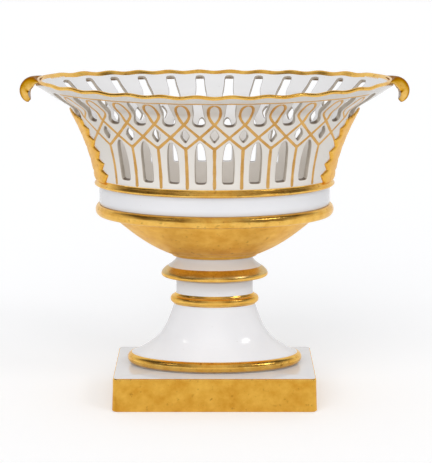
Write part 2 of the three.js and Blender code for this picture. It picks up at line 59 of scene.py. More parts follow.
def high(name):
    """Height of a solid's highest point"""
    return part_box(name)[1].z / MM


# Sizes shared with the frame: a radius or reach is half an oval's length, a pair half its length and depth
BASKET_RATIO = 0.74
STEM = (28.9, 17.0)
FOOT = (58.4, 31.4)
ROLL_OUT = 3.7
ROLL_HEIGHT = 7.7
TRUMPET_HEIGHT = 34.9
STEM_RING_OUT = 2.45
STEM_RING_HEIGHT = 7.0
DRUM_RADIUS = 27.1
PEDESTAL_WALL = 4.5
PEDESTAL_TOP = 5.0
COLLAR_RADIUS = 26.6
COLLAR_BORE = 15.0
KNOP_HEIGHT = 7.7
BOWL_RADIUS = 72.8
BOWL_HEIGHT = 29.6
PAN_FLOOR = 4.8
LOWER_BEAD_OUT = 2.8
FASCIA_RADIUS = 80.9
FASCIA_HEIGHT = 11.1
UPPER_BEAD_HEIGHT = 5.0
LATTICE_RADIUS = 82.0
LATTICE_HEIGHT = 51.0
THROAT_RADIUS = 99.8
RIM_REACH = 124.0
RIM_RISE = 17.7
BAYS = 6.27
ROD_HOLE = 4.0

plinth_top = high("plinth")
foot_z = low("pedestal")
pedestal_top = high("pedestal")
knop_z = low("collar_knop")
pan_z = low("bowl_pan")
wall_z = high("bowl_pan")
roll_top = foot_z + ROLL_HEIGHT
ring_z = roll_top + TRUMPET_HEIGHT
drum_z = ring_z + STEM_RING_HEIGHT
collar_z = knop_z + KNOP_HEIGHT
bead_z = pan_z + BOWL_HEIGHT
lattice_z = wall_z + FASCIA_HEIGHT + UPPER_BEAD_HEIGHT
throat_z = lattice_z + LATTICE_HEIGHT
rim_z = throat_z + RIM_RISE


# Camera, room and lamps

PHOTO_HEIGHT_PX = 463
FOCAL_PX = 1730
SENSOR = 36
CAMERA_TILT = 10.64
CAMERA_AWAY = 1200
CAMERA_HEIGHT = 344.2
CAMERA_RIGHT = 1.0

# The sockets of a colour mix, and what makes a mix one of colours
SHARE, FIRST, SECOND = 0, 6, 7
COLOURS = {"data_type": "RGBA", "out": 2}


def linear(code):
    """A colour written as sRGB hex, as the linear values that shaders take"""
    channels = [int(code[i : i + 2], 16) / 255 for i in (1, 3, 5)]
    return (*[c / 12.92 if c <= 0.04045 else ((c + 0.055) / 1.055) ** 2.4 for c in channels], 1.0)


def node(tree, kind, inputs=None, out=0, **settings):
    """Adds one shader node with settings, and inputs as values, hex colours or links; gives one output"""
    made = tree.nodes.new("ShaderNode" + kind)
    for key, value in settings.items():
        setattr(made, key, value)
    for socket, value in (inputs or {}).items():
        if isinstance(value, bpy.types.NodeSocket):
            tree.links.new(value, made.inputs[socket])
        else:
            made.inputs[socket].default_value = linear(value) if isinstance(value, str) else value
    return made.outputs[out] if made.outputs else None


def make_camera():
    """The photograph's eye, a little above the rim and tilted down"""
    data = bpy.data.cameras.new("camera")
    data.sensor_width = SENSOR
    data.lens = SENSOR * FOCAL_PX / PHOTO_HEIGHT_PX
    data.clip_end = 50
    camera = bpy.data.objects.new("camera", data)
    camera.location = (CAMERA_RIGHT * MM, -CAMERA_AWAY * MM, CAMERA_HEIGHT * MM)
    camera.rotation_euler = (math.radians(90 - CAMERA_TILT), 0, 0)
    bpy.context.scene.collection.objects.link(camera)
    bpy.context.scene.camera = camera


def seen_rays(tree):
    """Tells the camera's rays, and rays mirrored on their way from it, from those that only carry light"""
    camera_ray = node(tree, "LightPath", out="Is Camera Ray")
    rays = camera_ray.node.outputs
    straight = node(tree, "Math", {0: rays["Diffuse Depth"], 1: 0.5}, operation="LESS_THAN")
    return camera_ray, node(tree, "Math", {0: rays["Is Glossy Ray"], 1: straight}, operation="MULTIPLY")


def make_room():
    """A pale studio that lights the piece softly, and more from above. What glaze and gold mirror is a white
    sheet behind and a pale one in front, between dim walls under a dark ceiling."""
    world = bpy.data.worlds.new("studio")
    bpy.context.scene.world = world
    world.use_nodes = True
    tree = world.node_tree
    tree.nodes.clear()
    direction = node(tree, "TexCoord", out="Generated")
    x, y, z = node(tree, "SeparateXYZ", {"Vector": direction}).node.outputs
    climb = node(tree, "MapRange", {"Value": z, "From Min": 0.12, "From Max": 0.42})
    aside = node(tree, "Math", {0: x}, operation="ABSOLUTE")
    leaving = node(tree, "MapRange", {"Value": aside, "From Min": 0.16, "From Max": 0.4})
    ending = node(tree, "MapRange", {"Value": aside, "From Min": 0.95, "From Max": 0.8})
    between = node(tree, "Math", {0: leaving, 1: ending}, operation="MINIMUM")
    dim = node(tree, "Mix", {SHARE: climb, FIRST: "#8F8578", SECOND: "#4C443A"}, **COLOURS)
    front = node(tree, "Mix", {SHARE: between, FIRST: "#E6E2DC", SECOND: dim}, **COLOURS)
    behind = node(tree, "MapRange", {"Value": y, "From Min": 0.12, "From Max": 0.4})
    mirrored = node(tree, "Mix", {SHARE: behind, FIRST: front, SECOND: "#F7F7F7"}, **COLOURS)
    level = node(tree, "MapRange", {"Value": z, "To Min": 0.75, "To Max": 0.5})
    soft = node(tree, "Background", {"Color": "#F7F8FB", "Strength": level})
    shown = node(tree, "Background", {"Color": mirrored, "Strength": 1.0})
    white = node(tree, "Background", {"Color": "#FFFFFF", "Strength": 1.0})
    camera_ray, mirror_ray = seen_rays(tree)
    lit = node(tree, "MixShader", {0: mirror_ray, 1: soft, 2: shown})
    node(tree, "OutputWorld", {"Surface": node(tree, "MixShader", {0: camera_ray, 1: lit, 2: white})})


def make_lamp(name, bearing, climb, width, strength, mirrored=True):
    """A round softbox, so far off that it lights the floor evenly. Its bearing from the front towards +X,
    its climb and its width are in degrees. One that isn't mirrored only fills."""
    data = bpy.data.lights.new(name, "SUN")
    data.angle = math.radians(width)
    data.energy = strength
    lamp = bpy.data.objects.new(name, data)
    lamp.rotation_euler = (math.radians(90 - climb), 0, math.radians(bearing))
    lamp.visible_glossy = mirrored
    bpy.context.scene.collection.objects.link(lamp)


def make_floor():
    """A white sheet that keeps the object's shadow; for the camera it is lifted to the photograph's white"""
    mesh = bpy.data.meshes.new("floor")
    reach, under = 14.0, -0.00005
    corners = [(-reach, -reach), (reach, -reach), (reach, reach), (-reach, reach)]
    mesh.from_pydata([(x, y, under) for x, y in corners], [], [(0, 1, 2, 3)])
    floor = bpy.data.objects.new("floor", mesh)
    bpy.context.scene.collection.objects.link(floor)
    paper = bpy.data.materials.new("matt white paper")
    paper.use_nodes = True
    tree = paper.node_tree
    tree.nodes.clear()
    matt = node(tree, "BsdfDiffuse", {"Color": "#E2E2E2"})
    pale = node(tree, "BsdfDiffuse", {"Color": "#F2F2F2"})
    lift = node(tree, "Emission", {"Color": "#FFFFFF", "Strength": 0.265})
    both = node(tree, "AddShader", {0: pale, 1: lift})
    camera_ray, mirror_ray = seen_rays(tree)
    lifted = node(tree, "Math", {0: camera_ray, 1: mirror_ray}, operation="MAXIMUM")
    node(tree, "OutputMaterial", {"Surface": node(tree, "MixShader", {0: lifted, 1: matt, 2: both})})
    mesh.materials.append(paper)


make_camera()
make_room()
make_floor()
make_lamp("front_softbox", -8, 34, 50, 1.2, mirrored=False)
make_lamp("window", 47, 37, 13, 0.3)
make_lamp("far_window", -44, 38, 8, 0.06)
bpy.context.scene.view_settings.view_transform = "Standard"


# Finishes


def per(size):
    """The scale of a pattern whose features have a real size in millimetres"""
    return 1 / (size * MM)


def new_finish(name):
    """An empty material, with its nodes and the place of each point on the object"""
    made = bpy.data.materials.new(name)
    made.use_nodes = True
    tree = made.node_tree
    tree.nodes.clear()
    return made, tree, node(tree, "TexCoord", out="Object")


def surfaced(made, colour, pattern, smooth, rough, inputs):
    """The material with its surface shader, whose roughness follows a pattern between two values"""
    tree = made.node_tree
    uneven = node(tree, "MapRange", {"Value": pattern, "To Min": smooth, "To Max": rough})
    shader = node(tree, "BsdfPrincipled", {"Base Color": colour, "Roughness": uneven, **inputs})
    node(tree, "OutputMaterial", {"Surface": shader})
    return made


def mottled(tree, place, size, detail, light, dark):
    """A cloudy pattern of a real size, and the colour that it makes between two"""
    cloud = node(tree, "TexNoise", {"Vector": place, "Scale": per(size), "Detail": detail})
    return cloud, node(tree, "Mix", {SHARE: cloud, FIRST: light, SECOND: dark}, **COLOURS)


def glazed_porcelain(name, light, dark, painted_shade=None):
    """Hard-paste porcelain under clear glaze: its gloss runs slightly uneven, with rare iron specks. Where a
    shade colour is given, painted shade greys the inside towards its bottom."""
    made, tree, place = new_finish(name)
    cloud, body = mottled(tree, place, 35, 2.0, light, dark)
    if painted_shade:
        # Painted shade: the inside turns grey-beige towards its bottom, where the basket's walls shade it
        height = node(tree, "SeparateXYZ", {"Vector": place}, out="Z")
        uneven = node(tree, "Math", {0: cloud, 1: 20 * MM, 2: height}, operation="MULTIPLY_ADD")
        above_shade = node(tree, "MapRange", {"Value": uneven, "From Min": 180 * MM, "From Max": 208 * MM})
        body = node(tree, "Mix", {SHARE: above_shade, FIRST: painted_shade, SECOND: body}, **COLOURS)
    grain = node(tree, "TexVoronoi", {"Vector": place, "Scale": per(7), "Randomness": 1.0}, out="Distance")
    dot = node(tree, "MapRange", {"Value": grain, "From Min": 0.035, "From Max": 0.02})
    speck = node(tree, "Mix", {SHARE: dot, FIRST: body, SECOND: "#B9B2A8"}, **COLOURS)
    ripple = node(tree, "TexNoise", {"Vector": place, "Scale": per(9), "Detail": 3.0})
    bump = node(tree, "Bump", {"Height": ripple, "Strength": 0.25, "Distance": 0.3 * MM})
    return surfaced(made, speck, ripple, 0.07, 0.19, {"Normal": bump, "IOR": 1.5})


def pierced_edge():
    """The cut sides of the openings: greyer and warmer, painted shade within the cuts, and dark brown on a
    sill, painted shade too
    """
    made, tree, place = new_finish("pierced edges with painted shade")
    # Painted shade: a greyer, warmer tone for the shade inside the cut sides
    painted_shade, tone = mottled(tree, place, 6, 4.0, "#A69A8A", "#D2C8BA")
    # Painted shade: faces that look upwards, the sills, turn dark brown
    upwards = node(tree, "SeparateXYZ", {"Vector": node(tree, "NewGeometry", out="Normal")}, out="Z")
    lying = node(tree, "MapRange", {"Value": upwards, "From Min": 0.35, "From Max": 0.8})
    shaded_sill = node(tree, "Mix", {SHARE: lying, FIRST: tone, SECOND: "#5F4D3A"}, **COLOURS)
    return surfaced(made, shaded_sill, painted_shade, 0.2, 0.5, {"IOR": 1.5})


def biscuit_porcelain():
    """Unglazed fired porcelain: matt and chalky, with grit drawn coarser than it is, so that it shows"""
    made, tree, place = new_finish("unglazed biscuit porcelain")
    grit, tone = mottled(tree, place, 1.2, 5.0, "#DDD8CE", "#EFECE6")
    tooth = node(tree, "Bump", {"Height": grit, "Strength": 0.4, "Distance": 0.2 * MM})
    return surfaced(made, tone, grit, 0.6, 0.85, {"Normal": tooth, "IOR": 1.5})


def gilding(name, colours, gloss, wave, brush, painted_dark_edge=None):
    """Fired gold: cloudy where it was laid on thinner, worn away in specks, waving a little by (length,
    height), with the burnisher's fine marks drawn coarser than they are. Where a colour is given, it is
    painted over the gold where it turns away from the eye: a painted dark reflection of a dim room."""
    made, tree, place = new_finish(name)
    thick, thin, worn_away = colours.split()
    patch = node(tree, "TexNoise", {"Vector": place, "Scale": per(8), "Detail": 4.0, "Roughness": 0.6})
    patchy = node(tree, "MapRange", {"Value": patch, "From Min": 0.3, "From Max": 0.7})
    tone = node(tree, "Mix", {SHARE: patchy, FIRST: thick, SECOND: thin}, **COLOURS)
    worn = node(tree, "TexNoise", {"Vector": place, "Scale": per(3.5), "Detail": 5.0})
    rubbed = node(tree, "MapRange", {"Value": worn, "From Min": 0.62, "From Max": 0.8})
    gold = node(tree, "Mix", {SHARE: rubbed, FIRST: tone, SECOND: worn_away}, **COLOURS)
    values = {"Metallic": 1.0}
    # Painted reflection: the gold darkens to a given brown where it turns away from the eye, for the dim room
    # it would mirror there
    if painted_dark_edge:
        facing = node(tree, "LayerWeight", {"Blend": 0.5}, out="Facing")
        grazing = node(tree, "MapRange", {"Value": facing, "From Min": 0.55, "From Max": 1.0})
        gold = node(tree, "Mix", {SHARE: grazing, FIRST: gold, SECOND: painted_dark_edge}, **COLOURS)
        values["Specular Tint"] = painted_dark_edge
    along = node(tree, "Mapping", {"Vector": place, "Scale": (1.0, 1.0, 5.0)})
    marks = node(tree, "TexNoise", {"Vector": along, "Scale": per(brush), "Detail": 3.0})
    swell = node(tree, "TexNoise", {"Vector": along, "Scale": per(wave[0]), "Detail": 1.5})
    broad = node(tree, "Bump", {"Height": swell, "Strength": 1.0, "Distance": wave[1] * MM})
    fine = node(tree, "Bump", {"Height": marks, "Normal": broad, "Strength": 0.3, "Distance": 0.12 * MM})
    return surfaced(made, gold, marks, *gloss, {"Normal": fine, **values})


def turned_brass():
    """Brass turned on a lathe and dulled by handling: brown tarnish, and rings drawn coarser than they are"""
    made, tree, place = new_finish("turned brass")
    _, tone = mottled(tree, place, 4, 4.0, "#B8934A", "#7F6230")
    turning = {"wave_type": "RINGS", "rings_direction": "Z", "out": 1}
    rings = node(tree, "TexWave", {"Vector": place, "Scale": per(1.8), "Distortion": 1.0}, **turning)
    return surfaced(made, tone, rings, 0.28, 0.46, {"Metallic": 1.0})


def cut_leather():
    """Vegetable-tanned leather: matt brown with darker patches, and pores drawn coarser than they are"""
    made, tree, place = new_finish("vegetable-tanned leather")
    pores = node(tree, "TexVoronoi", {"Vector": place, "Scale": per(0.9)}, out="Distance")
    _, tone = mottled(tree, place, 6, 3.0, "#6B4A2E", "#94704B")
    pits = node(tree, "Bump", {"Height": pores, "Strength": 0.5, "Distance": 0.3 * MM})
    return surfaced(made, tone, pores, 0.65, 0.85, {"Normal": pits, "IOR": 1.45})


FINISHES = {
    # Plain walls: a cool clean white with small sharp highlights
    "glaze": glazed_porcelain("glazed porcelain", "#F3F3F5", "#E8E9EC"),
    # The openwork: a warmer white
    "worked": glazed_porcelain("glazed porcelain of the openwork", "#F3EFE8", "#E4DDD3"),
    # Inside the basket: a duller white, with painted shade greying it towards the bottom
    "inside": glazed_porcelain("glazed porcelain inside with painted shade", "#EDECEC", "#E4E3E2", "#DDD6CD"),
    "edge": pierced_edge(),
    "biscuit": biscuit_porcelain(),
    # Brushed gold: a broad soft shine
    "matt": gilding("brushed gilding", "#F5C55B #E2A73E #B2782A", (0.34, 0.5), (14, 0.2), 1.2),
    # The same on the plinth's sides, a little darker
    "side": gilding("brushed gilding of the plinth", "#EEBC52 #D89D36 #A87126", (0.32, 0.48), (18, 0.2), 1.2),
    # Paler, browner gold on the knop's top: painted shade for the dim reflections under the bowl, dull and
    # uneven
    "aged": gilding("knop gilding with painted shade", "#DDBE80 #C4A263 #8A6A38", (0.22, 0.36), (11, 0.2), 1.4),
    # Gold painted on thin: flat lines with little shine
    "line": gilding("thin painted gilding", "#DDB06A #C2924D #94703F", (0.3, 0.5), (9, 0.1), 1.2),
    # Burnished gold: clear streaks of light
    "bright": gilding("burnished gilding", "#F4C768 #E0A847 #8F5D20", (0.17, 0.31), (11, 0.22), 1.6),
    # Gold burnished hard: nearly a mirror, with painted dark reflections at its sides
    "hard": gilding(
        "hard burnished gilding of the handles", "#FBD486 #EAB657 #9A6A2C",
        (0.1, 0.2), (9, 0.2), 1.6, "#AE8444",
    ),
    "brass": turned_brass(),
    "leather": cut_leather(),
}


# Mesh helpers


def oval(a, b, angle, out=0.0):
    """Points of an oval of half length a and half depth b, at angles from the front towards +X, moved out
    square to it"""
    across, front = np.sin(angle), -np.cos(angle)
    length = np.maximum(np.hypot(b * across, a * front), 1e-9)
    return a * across + out * b * across / length, b * front + out * a * front / length


def line_between(first, last):
    """Half depth from half length, in a run between two known ovals"""
    return lambda a: first[1] + (a - first[0]) * (last[1] - first[1]) / (last[0] - first[0])


def basket_depth(a):
    """Half depth from half length, in the basket"""
    return a * BASKET_RATIO


stem_depth = line_between(STEM, FOOT)
pan_depth = line_between(
    (COLLAR_RADIUS, stem_depth(COLLAR_RADIUS)), (FASCIA_RADIUS, basket_depth(FASCIA_RADIUS))
)


def bend(start, start_pull, end_pull, end, steps):
    """Points of a smooth curve from its two ends and the two points that pull it out"""
    p = np.array([start, start_pull, end_pull, end], float)
    t = np.linspace(0, 1, steps + 1)[:, None]
    return (1 - t) ** 3 * p[0] + 3 * t * (1 - t) ** 2 * p[1] + 3 * t * t * (1 - t) * p[2] + t**3 * p[3]


def bead(radius, out, bottom, top, steps=14):
    """A half-round moulding, as (half length, height, inset) points"""
    turn = np.linspace(0, np.pi, steps + 1)
    middle = (bottom + top) / 2
    return [(radius, middle - (top - bottom) / 2 * math.cos(t), -out * math.sin(t)) for t in turn]


def cut_corners(points, rounds, closed):
    """A control polygon made smooth by cutting its corners again and again"""
    p = np.array(points, float)
    for _ in range(rounds):
        q = np.roll(p, -1, 0) if closed else p[1:]
        a = p if closed else p[:-1]
        cut = np.stack([a * 0.75 + q * 0.25, a * 0.25 + q * 0.75], 1).reshape(-1, p.shape[1])
        p = cut if closed else np.vstack([p[:1], cut[1:-1], p[-1:]])
    return p


def resample(points, spacing, closed):
    """Points at even steps along a line"""
    p = np.vstack([points, points[:1]]) if closed else np.asarray(points, float)
    length = np.r_[0, np.cumsum(np.hypot(*np.diff(p[:, :2], axis=0).T))]
    count = max(3, int(round(length[-1] / spacing)))
    s = np.linspace(0, length[-1], count + 1)
    if closed:
        s = s[:-1]
    return np.stack([np.interp(s, length, p[:, i]) for i in range(p.shape[1])], 1)


def left_normals(points, closed):
    """Unit normals to the left of a line's direction of travel"""
    if closed:
        run = np.roll(points, -1, 0) - np.roll(points, 1, 0)
    else:
        run = np.gradient(points, axis=0)
    run /= np.maximum(np.hypot(run[:, 0], run[:, 1])[:, None], 1e-9)
    return np.stack([-run[:, 1], run[:, 0]], 1)


def inside(points, polygon):
    """Which points lie inside a polygon"""
    x, y = points[:, 0], points[:, 1]
    hit = np.zeros(len(points), bool)
    for (x0, y0), (x1, y1) in zip(polygon, np.roll(polygon, -1, 0)):
        if y0 != y1:
            crosses = (y0 > y) != (y1 > y)
            hit ^= crosses & (x < (x1 - x0) * (y - y0) / (y1 - y0) + x0)
    return hit


def distance_to(points, polygon, closed=True):
    """Shortest distance from points to a line"""
    ends = np.roll(polygon, -1, 0) if closed else polygon[1:]
    best = np.full(len(points), 1e9)
    for p, q in zip(polygon, ends):
        run = q - p
        t = np.clip((points - p) @ run / max(run @ run, 1e-12), 0, 1)
        best = np.minimum(best, np.hypot(*(points - p - t[:, None] * run).T))
    return best


def triangulate(outlines, grid):
    """A flat sheet through the points of closed outlines and of a grid: points, triangles, and the numbers
    of each outline's points"""
    starts = np.cumsum([0] + [len(outline) for outline in outlines])
    loops = [np.arange(first, after) for first, after in zip(starts, starts[1:])]
    edges = [(int(a), int(b)) for loop in loops for a, b in zip(loop, np.roll(loop, -1))]
    points = np.vstack([*outlines, grid])
    made = delaunay_2d_cdt([tuple(p) for p in points], edges, [], 0, 1e-6)
    found = np.zeros(len(points), int)
    for new, olds in enumerate(made[3]):
        found[olds] = new
    triangles = np.array([f for f in made[2] if len(f) == 3])
    return np.array([tuple(v) for v in made[0]]), triangles, [found[loop] for loop in loops]


def shape(name, verts, faces, finishes, sharp=40, weld=0.0):
    """An object from points in millimetres, faces, and the name of each face's finish"""
    mesh = bpy.data.meshes.new(name)
    mesh.from_pydata((np.asarray(verts, float) * MM).tolist(), [], faces)
    used = sorted(set(finishes))
    for finish in used:
        mesh.materials.append(FINISHES[finish])
    slots = {finish: i for i, finish in enumerate(used)}
    mesh.polygons.foreach_set("material_index", [slots[f] for f in finishes])
    mesh.polygons.foreach_set("use_smooth", [True] * len(mesh.polygons))
    work = bmesh.new()
    work.from_mesh(mesh)
    if weld:
        bmesh.ops.remove_doubles(work, verts=work.verts, dist=weld * MM)
    bmesh.ops.recalc_face_normals(work, faces=work.faces)
    work.to_mesh(mesh)
    work.free()
    mesh.set_sharp_from_angle(angle=math.radians(sharp))
    made = bpy.data.objects.new(name, mesh)
    bpy.context.scene.collection.objects.link(made)
    return made


def flat_ring(x, y, z):
    """A ring of points, all at one height"""
    return np.stack([x, y, np.full(len(x), z)], 1)


def round_ring(radius, z, angle):
    """A ring of points about the axis, at one radius or at one for each angle"""
    return flat_ring(radius * np.cos(angle), radius * np.sin(angle), z)


def ring_faces(first, second, count):
    """Faces between two rings of vertices, given by the number of each ring's first vertex"""
    return [(first + i, first + (i + 1) % count, second + (i + 1) % count, second + i) for i in range(count)]


def row_faces(rings, start=0, closed=False):
    """Faces over a row of rings, closed to a loop or capped; start is the number of its first vertex"""
    count = len(rings[0])
    last = start + (len(rings) - 1) * count
    faces = []
    for first in range(start, last, count):
        faces += ring_faces(first, first + count, count)
    if closed:
        return faces + ring_faces(last, start, count)
    return faces + [tuple(range(first, first + count)) for first in (start, last)]


def skin(name, rings, finishes, closed=False, **settings):
    """A skin over a row of rings; each ring gives its finish to the band after it"""
    named = np.repeat(finishes if closed else finishes[:-1], len(rings[0])).tolist()
    if not closed:
        named += [finishes[0], finishes[-1]]
    return shape(name, np.vstack(rings), row_faces(rings, closed=closed), named, **settings)


def turned(name, runs, depth_of, steps=192, **settings):
    """A piece turned on an oval: closed runs of (finish, [(half length, height, inset)]). A radius no
    larger than the rod's hole is taken as round."""
    angle = np.arange(steps) * 2 * np.pi / steps
    rings, finishes = [], []
    for finish, points in runs:
        for a, z, *inset in points:
            depth = a if a <= ROD_HOLE + 0.01 else depth_of(a)
            x, y = oval(a, depth, angle, -inset[0] if inset else 0.0)
            rings.append(flat_ring(x, y, z))
            finishes.append(finish)
    return skin(name, rings, finishes, closed=True, **settings)


def dress(piece, slot, *nodes):
    """Fixes a piece to the object's one body and hides the solids it stands for; slot is not used"""
    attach(piece, "root")
    if nodes:
        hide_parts(*nodes)
    return piece


# Plinth

PLINTH = (140.4, 90.0)
PLINTH_FLARE = 1.0
PLINTH_WALL = 5.0
PLINTH_TOP = 5.0
PLINTH_CORNER = 3.2
PLINTH_HOLLOW_CORNER = 8.0
PLINTH_SOFT_EDGE = 1.0


def block_ring(inset, corner, z, per_side=26, per_corner=10):
    """The plinth's outline moved in, with rounded corners and the same number of points wherever it lies"""
    x, y = PLINTH[0] / 2 - inset - corner, PLINTH[1] / 2 - inset - corner
    corners = [(x, -y), (x, y), (-x, y), (-x, -y)]
    points = []
    for quarter, (cx, cy) in enumerate(corners):
        turn = np.radians(-90 + 90 * quarter + np.linspace(0, 90, per_corner + 1))
        points += [(cx + corner * math.cos(t), cy + corner * math.sin(t)) for t in turn]
        start = np.array(points[-1])
        side = np.radians(90 * quarter)
        end = np.array(corners[(quarter + 1) % 4]) + corner * np.array([math.cos(side), math.sin(side)])
        points += [tuple(start + (end - start) * k / per_side) for k in range(1, per_side)]
    return np.array([(px, py, z) for px, py in points])


def make_plinth():
    """Cast hollow and open below: gold on the four sides, white above with soft edges, unglazed inside"""
    rings, finishes = [], []

    def add(inset, z, finish, corner=PLINTH_CORNER):
        rings.append(block_ring(inset, max(corner - inset, 0.6), z))
        finishes.append(finish)

    add(-PLINTH_FLARE + 0.7, 0.0, "side")
    add(-PLINTH_FLARE, 0.7, "side")
    edge_z = plinth_top - PLINTH_SOFT_EDGE
    for share in np.linspace(0.08, 1, 10):
        flare = 0.3 + (PLINTH_FLARE - 0.3) * (1 - share) ** 1.6
        add(-flare, 0.7 + (edge_z - 0.7) * share, "side" if share < 0.93 else "bright")
    for turn in np.radians([18, 36, 54, 72, 90]):
        inset = PLINTH_SOFT_EDGE * (1 - math.cos(turn)) - 0.3
        add(inset, edge_z + PLINTH_SOFT_EDGE * math.sin(turn), "bright" if turn < 1.2 else "glaze")
    ceiling = plinth_top - PLINTH_TOP
    angle = np.arctan2(rings[0][:, 1], rings[0][:, 0])
    for z in (plinth_top, ceiling):
        rings.append(round_ring(ROD_HOLE, z, angle))
        finishes.append("biscuit")
    hollow = [(PLINTH_WALL + 1.2, ceiling), (PLINTH_WALL, ceiling - 1.2)]
    hollow += [(PLINTH_WALL - PLINTH_FLARE, 0.5), (PLINTH_WALL - PLINTH_FLARE - 0.6, 0.0)]
    for inset, z in hollow:
        add(inset, z, "biscuit", PLINTH_HOLLOW_CORNER)
    return dress(skin("plinth_shell", rings, finishes, closed=True), "matt_gilding", "plinth")


# Pedestal, knop and pan


def make_pedestal():
    """Gilt roll, white trumpet, gilt ring and white drum. The gold on the roll stops just past its crown."""
    pulls = (FOOT[0] - 19, roll_top + 10.47), (STEM[0] + 7.5, ring_z - 23.03)
    trumpet = bend((FOOT[0] - 1.1, roll_top), *pulls, (STEM[0], ring_z), 30)
    roll = bead(FOOT[0], ROLL_OUT, foot_z + 0.3, roll_top, 18)
    gold_to = 17
    ring = bead(STEM[0], STEM_RING_OUT, ring_z + 1.2, drum_z)
    drum = [(DRUM_RADIUS + 0.3, drum_z + 1.4), (DRUM_RADIUS, drum_z + 3), (DRUM_RADIUS, pedestal_top - 0.5)]
    top_inside = pedestal_top - PEDESTAL_TOP
    hollow = [(a, z, PEDESTAL_WALL) for a, z in trumpet[3:-3:3]]
    runs = [
        ("biscuit", [(FOOT[0], foot_z, 6.9), (FOOT[0], foot_z, -1.6)]),
        ("bright", roll[:gold_to]),
        ("glaze", roll[gold_to:] + [(FOOT[0] - 0.4, roll_top + 0.05)] + [tuple(p) for p in trumpet]),
        ("bright", [(STEM[0], ring_z + 0.7, -0.15)] + ring + [(STEM[0], drum_z + 0.5, 0.15)]),
        ("glaze", drum + [(DRUM_RADIUS, pedestal_top, 0.5)]),
        ("biscuit", [(ROD_HOLE, pedestal_top), (ROD_HOLE, top_inside)]),
        ("biscuit", [(DRUM_RADIUS, top_inside, PEDESTAL_WALL)] + hollow[::-1]),
    ]
    return dress(turned("pedestal_shell", runs, stem_depth), "glazed_porcelain", "pedestal")


def make_knop():
    """The gilt knop with its sharp nose, paler and browner above as painted shade under the bowl, and the
    white cove that rises from it to the pan
    """
    edge = (8.3, collar_z - 0.3)
    nose = bend((9.4, knop_z + 1.3), (12.0, knop_z + 1.85), (11.8, knop_z + 4.62), edge, 20)
    cove = bend(edge, (3.9, collar_z + 2.7), (0.46, pan_z - 3.24), (0.0, pan_z), 18)
    profile = [(COLLAR_RADIUS, z, -out) for out, z in [*nose, *cove[1:]]]
    brown_from, white_from = 12, 23
    under = [(COLLAR_RADIUS, knop_z + 0.1, -0.5), (COLLAR_RADIUS, knop_z + 1.1, -8.6)]
    runs = [
        ("biscuit", [(COLLAR_BORE, knop_z), (COLLAR_RADIUS, knop_z, 1.0)]),
        ("bright", under + profile[:brown_from]),
        # Painted shade: the knop's upper face takes paler, browner gold for the dim reflections under the
        # bowl
        ("aged", profile[brown_from:white_from]),
        ("glaze", profile[white_from:]),
        ("biscuit", [(COLLAR_BORE, pan_z)]),
    ]
    return dress(turned("knop_and_collar", runs, stem_depth), "glazed_porcelain", "collar_knop")


def make_pan():
    """The gilt bowl of the pan: small foot ring, thin scribed line, and half-round bead at its edge"""
    pulls = (47.6, pan_z + 7.4), (58.8, bead_z - 11.84)
    bowl = bend((COLLAR_RADIUS, pan_z), *pulls, (BOWL_RADIUS, bead_z), 44)
    foot_ring_to, scribed_at = 3, 9
    outer = []
    for i, (a, z) in enumerate(bowl):
        swell = 0.75 * math.sin(math.pi * i / foot_ring_to) if i <= foot_ring_to else 0.0
        if i in (foot_ring_to + 1, scribed_at):
            swell = -0.35
        outer.append((a, z - swell, -swell * 0.4))
    floor_z = pan_z + PAN_FLOOR
    inner = [(a, z + 4.4, 1.6) for a, z in bowl[10::4]][::-1]
    seat_z = wall_z - 2.9
    foot = [(COLLAR_RADIUS, pan_z + 0.55, 0.3), (COLLAR_RADIUS + 0.4, pan_z + 0.75, 0.0)]
    runs = [
        ("biscuit", [(ROD_HOLE, pan_z)]),
        ("inside", [(COLLAR_RADIUS, pan_z, 1.1), (COLLAR_RADIUS, pan_z + 0.5, 1.1)]),
        ("matt", foot + outer[1:-1]),
        ("bright", [(BOWL_RADIUS + 0.8, bead_z + 0.1), (FASCIA_RADIUS - 1.5, bead_z + 0.2)]),
        ("bright", bead(FASCIA_RADIUS, LOWER_BEAD_OUT, bead_z + 0.3, wall_z, 18)),
        ("biscuit", [(FASCIA_RADIUS, *spot) for spot in ((wall_z, 2.5), (seat_z, 2.5), (seat_z, 5.4))]),
        ("inside", [p for p in inner if floor_z + 1 < p[1] < wall_z - 3.5]),
        ("inside", [(26.0, floor_z + 0.1), (22.0, floor_z), (ROD_HOLE, floor_z)]),
    ]
    return dress(turned("pan_shell", runs, pan_depth), "matt_gilding", "bowl_pan")


# Openwork wall

WALL = 4.0
FLANGE = 2.6
RIM_SWEEP = 3.4
RIM_SWEEP_POWER = 2.4
RIM_WAVE = 0.5
RIM_GOLD = 4.4
ROOT_SWELL = 3.4
LATTICE_STEPS, FLARE_STEPS = 50, 36
EDGE_ROUND = 0.8
COLUMNS, ROWS = 204, 61
FLAT_PITCH = 20.5
# The hollow between moulding and net, as (height over its foot, how far it stands out)
COVE_TOP = 2.4
COVE = [(2.0, 0.05), (1.4, 0.3), (0.8, 0.75), (0.3, 1.35)]
MOULDING_FOOT = 152.8
FRONT_SILL, BACK_SILL = 162.2, 160.4
# Heights, and how far the hand-drawn net has come in there, as a share of its distance from the middle
NET_DRAWN = [(156.4, -0.012), (186, 0.035), (196, 0.053), (204, 0.062), (211, 0.098)]
NET_DRAWN += [(218.5, 0.14), (225, 0.15)]
NET_END_POWER = 20

